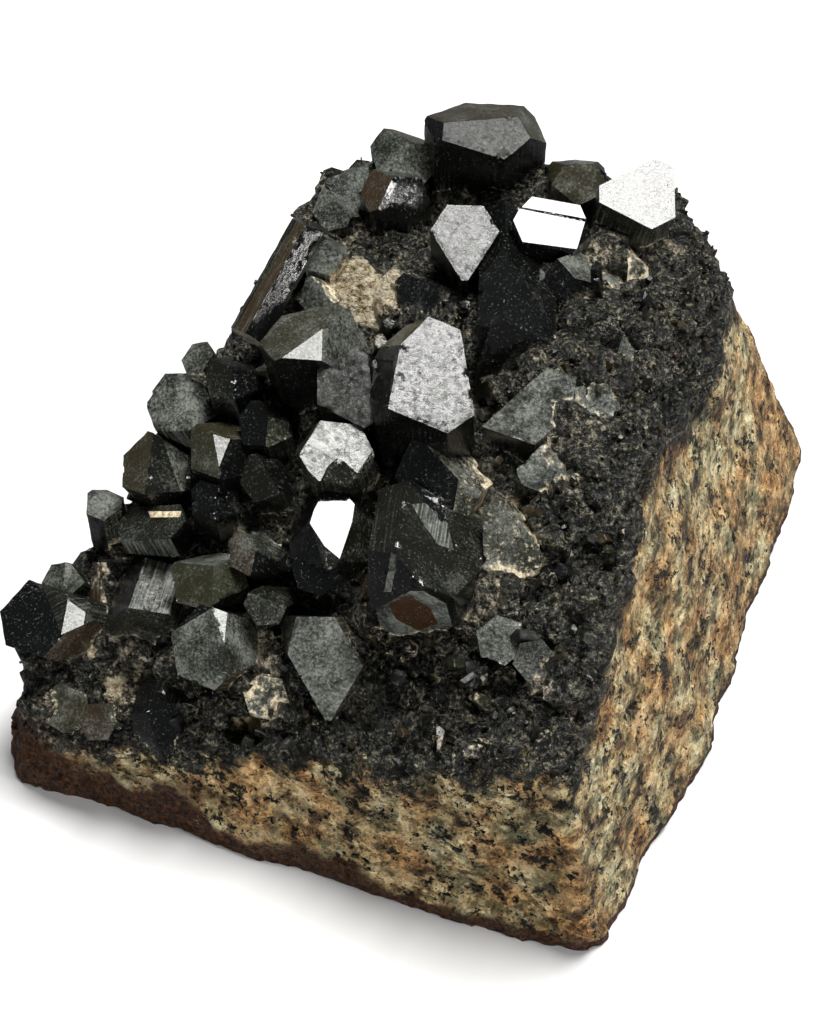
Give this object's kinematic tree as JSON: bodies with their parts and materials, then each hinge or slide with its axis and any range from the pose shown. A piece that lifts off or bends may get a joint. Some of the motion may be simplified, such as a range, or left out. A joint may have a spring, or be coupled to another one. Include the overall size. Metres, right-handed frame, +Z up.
{
  "type": "schorl crystal cluster",
  "caption": "Hand specimen of stout black tourmaline crystals with flat caps, standing on a broken, flat-bottomed block of speckled granite.",
  "frame": {"origin": "middle of the specimen's bounding box at the level of its flat underside", "axes": "+Z up, +X along the specimen's length to the right of the picture, -Y towards the side that the picture looks at"},
  "size_m": [0.125, 0.1074, 0.0706],
  "materials": {
    "granite": "rough broken rock",
    "schorl": "glossy black crystal"
  },
  "bodies": {
    "root": {"granite_matrix": "granite", "crown_crystals": "schorl", "upper_right_crystals": "schorl", "long_side_crystals": "schorl", "centre_crystals": "schorl", "wedge_crystals": "schorl", "step_crystal": "schorl", "left_ridge_crystals": "schorl", "left_post_crystal": "schorl", "left_point_crystals": "schorl", "lower_slope_crystals": "schorl", "front_left_prisms": "schorl", "broken_crystal": "schorl", "front_stumps": "schorl", "toe_crystals": "schorl"}
  },
  "joints": []
}
